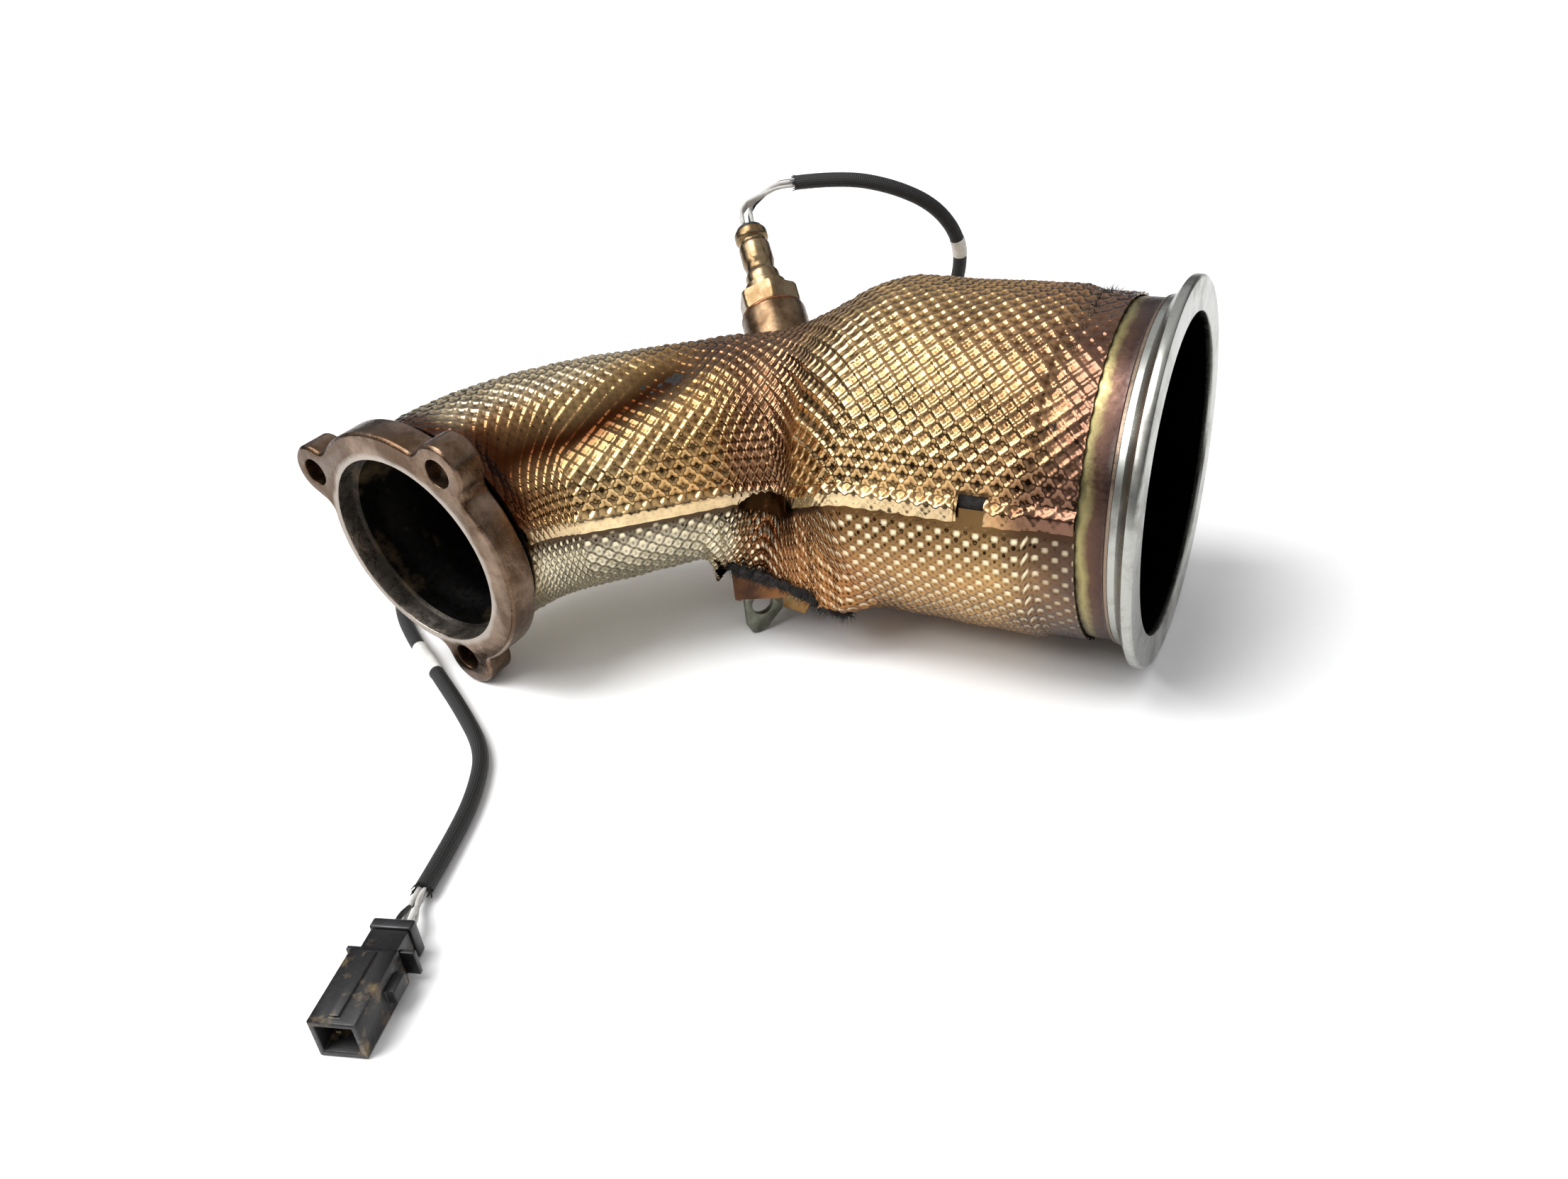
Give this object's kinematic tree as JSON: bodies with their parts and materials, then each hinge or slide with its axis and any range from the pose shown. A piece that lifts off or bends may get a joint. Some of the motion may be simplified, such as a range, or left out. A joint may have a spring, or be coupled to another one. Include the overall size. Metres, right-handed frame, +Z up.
{
  "type": "catalytic converter",
  "caption": "Round converter can with a V-band inlet, an S-bent outlet neck under pressed heat shields, a lobed outlet flange, a bracket and an oxygen sensor on its lead.",
  "frame": {"origin": "middle of the rigid converter's bounding box, on the surface it rests on", "axes": "+X along the can towards the inlet, +Z up from the resting surface, the outlet flange faces about -Y"},
  "size_m": [0.313, 0.3557, 0.1477],
  "materials": {
    "machined_steel": "turned and polished",
    "heated_steel": "stainless sheet, heat tinted",
    "weld_metal": "weld bead",
    "tinted_shield": "embossed stainless sheet, gold heat tint",
    "fibre_mat": "dark felted fibre",
    "ceramic_block": "fine honeycomb, sooted",
    "cast_flange": "rough cast, brown oxide",
    "bracket_steel": "pressed sheet, rust film",
    "mount_steel": "pressed sheet, dull grey",
    "sensor_metal": "plated, olive brown",
    "copper_washer": "dull",
    "seal_rubber": "matte",
    "braid_sleeve": "braided, matte",
    "pale_tape": "woven tape",
    "wire_insulation": "satin",
    "plug_plastic": "satin black",
    "contact_metal": "plated"
  },
  "bodies": {
    "root": {"v_band_flange": "machined_steel", "flange_weld": "weld_metal", "inlet_ring": "heated_steel", "can_shell": "heated_steel", "support_mat": "fibre_mat", "catalyst_monolith": "ceramic_block", "outlet_cone": "heated_steel", "neck_pipe": "heated_steel", "cone_weld": "weld_metal", "neck_weld": "weld_metal", "outlet_flange_weld": "weld_metal", "outlet_flange": "cast_flange", "upper_heat_shield": "tinted_shield", "lower_heat_shield": "tinted_shield", "upper_insulation": "fibre_mat", "lower_insulation": "fibre_mat", "bracket_gusset": "bracket_steel", "bracket_mount_plate": "mount_steel", "bracket_brace": "bracket_steel", "sensor_boss": "heated_steel", "sensor_gasket": "copper_washer", "sensor_body": "sensor_metal", "sensor_probe": "sensor_metal", "sensor_sleeve": "sensor_metal", "sensor_grommet": "seal_rubber", "lead_sleeve": "braid_sleeve", "tape_band_upper": "pale_tape", "tape_band_lower": "pale_tape", "sensor_wires": "wire_insulation", "connector_housing": "plug_plastic", "connector_seal_cap": "plug_plastic", "connector_lock_plate": "plug_plastic", "connector_pins": "contact_metal", "connector_wires": "wire_insulation"}
  },
  "joints": []
}
